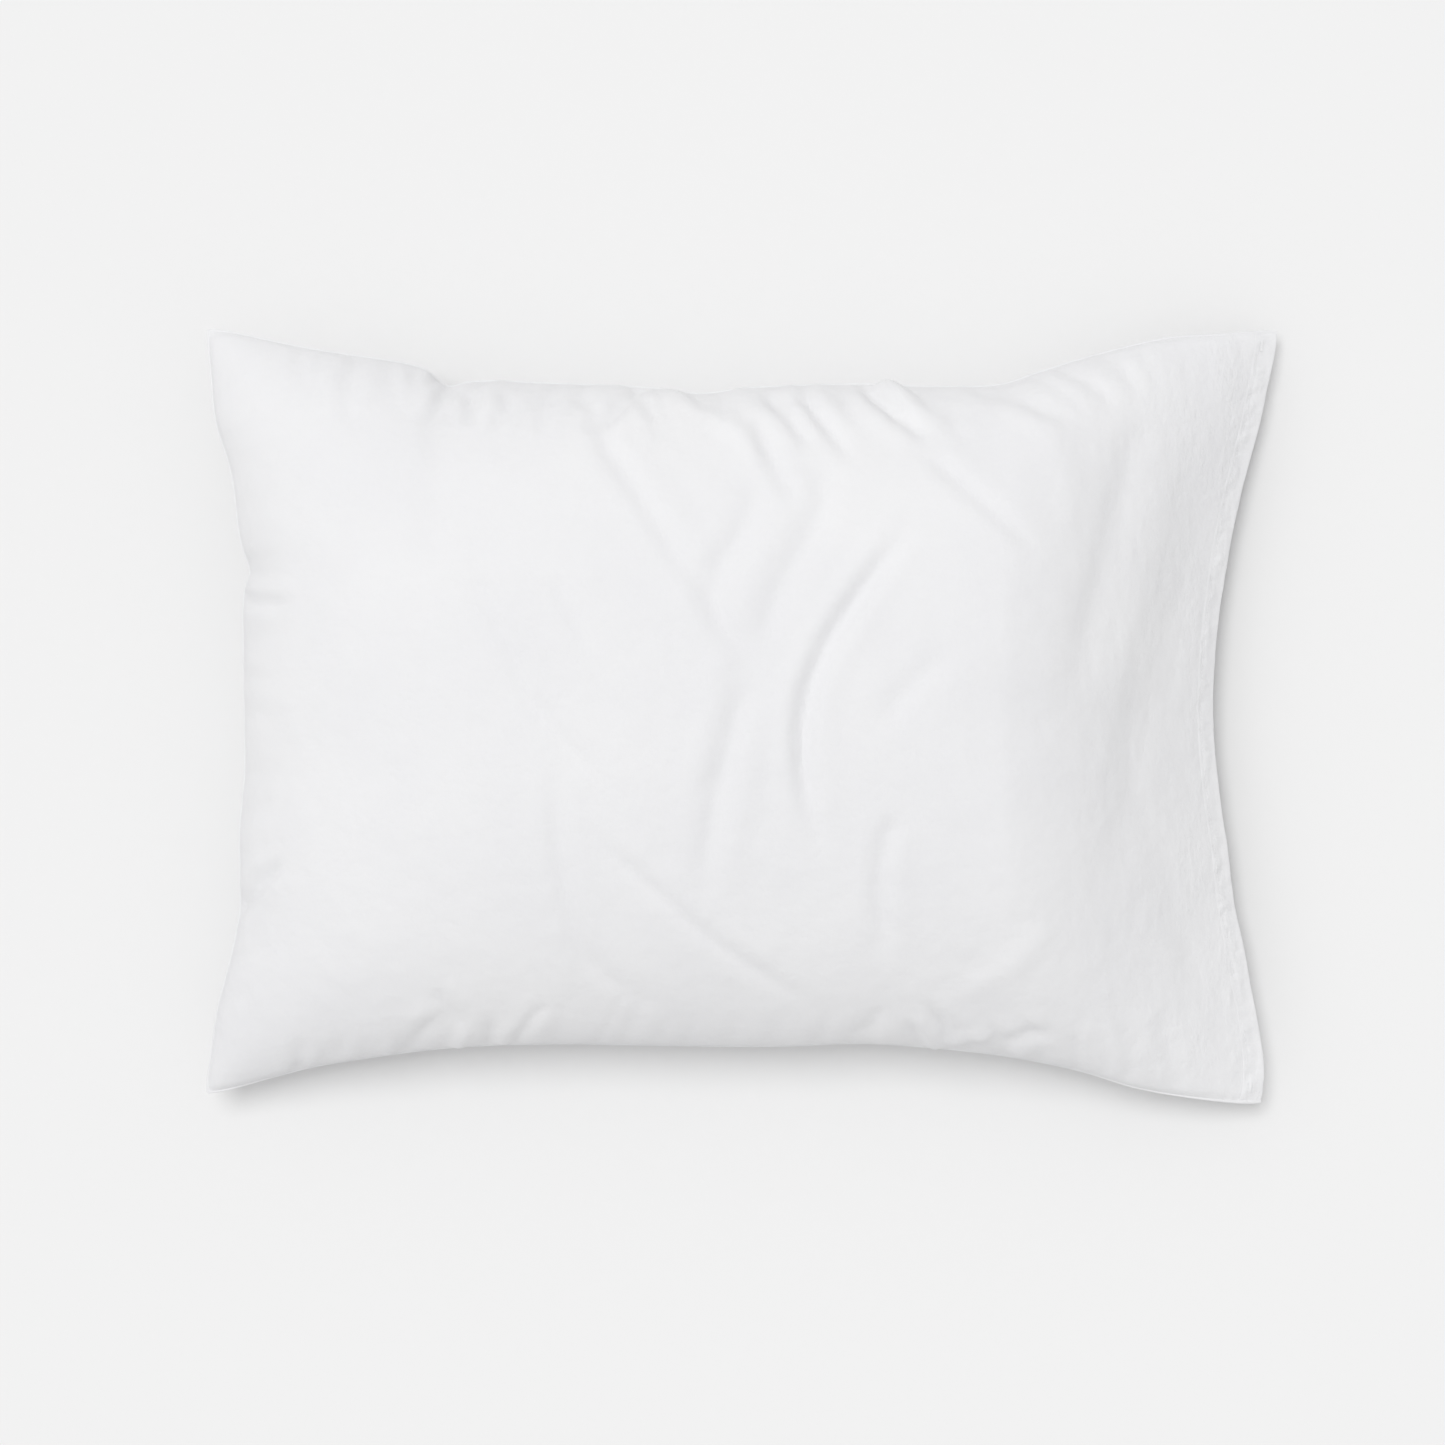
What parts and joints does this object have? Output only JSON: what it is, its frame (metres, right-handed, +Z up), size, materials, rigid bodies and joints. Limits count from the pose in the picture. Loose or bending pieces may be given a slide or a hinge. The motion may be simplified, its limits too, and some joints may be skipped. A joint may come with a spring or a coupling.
{
  "type": "bed pillow",
  "caption": "Rectangular bed pillow lying flat: a crowned fibre-filled pillow in a plain cotton case with pointed corners, open at one hemmed end.",
  "frame": {"origin": "on the resting surface, under the middle of the filled case", "axes": "+X along the case's length towards its open mouth, +Y across its width, +Z up"},
  "size_m": [0.693, 0.5, 0.165],
  "materials": {
    "case_cotton": "plain-woven white cotton, matt with a faint sheen",
    "sewing_thread": "twisted white sewing thread",
    "ticking_cotton": "close-woven natural white ticking, matt",
    "fibre_wadding": "white fibre wadding",
    "label_tape": "blank white woven label tape"
  },
  "bodies": {
    "case": {"case_top_panel": "case_cotton", "case_bottom_panel": "case_cotton", "case_top_hem": "case_cotton", "case_bottom_hem": "case_cotton", "case_top_hem_thread": "sewing_thread", "case_bottom_hem_thread": "sewing_thread", "case_bar_tacks": "sewing_thread", "case_closed_end_seam": "case_cotton", "case_front_seam": "case_cotton", "case_rear_seam": "case_cotton"},
    "insert": {"ticking_top_panel": "ticking_cotton", "ticking_bottom_panel": "ticking_cotton", "ticking_piping": "ticking_cotton", "fibre_fill": "fibre_wadding", "closing_thread": "sewing_thread", "care_label": "label_tape"}
  },
  "joints": [
    {"name": "insert_slide", "type": "slide", "parent": "case", "child": "insert", "axis": [1, 0, 0], "range_m": [0, 0.7], "deforming": ["case_top_panel", "case_bottom_panel", "case_top_hem", "case_bottom_hem", "case_top_hem_thread", "case_bottom_hem_thread", "case_bar_tacks", "case_front_seam", "case_rear_seam"]}
  ]
}
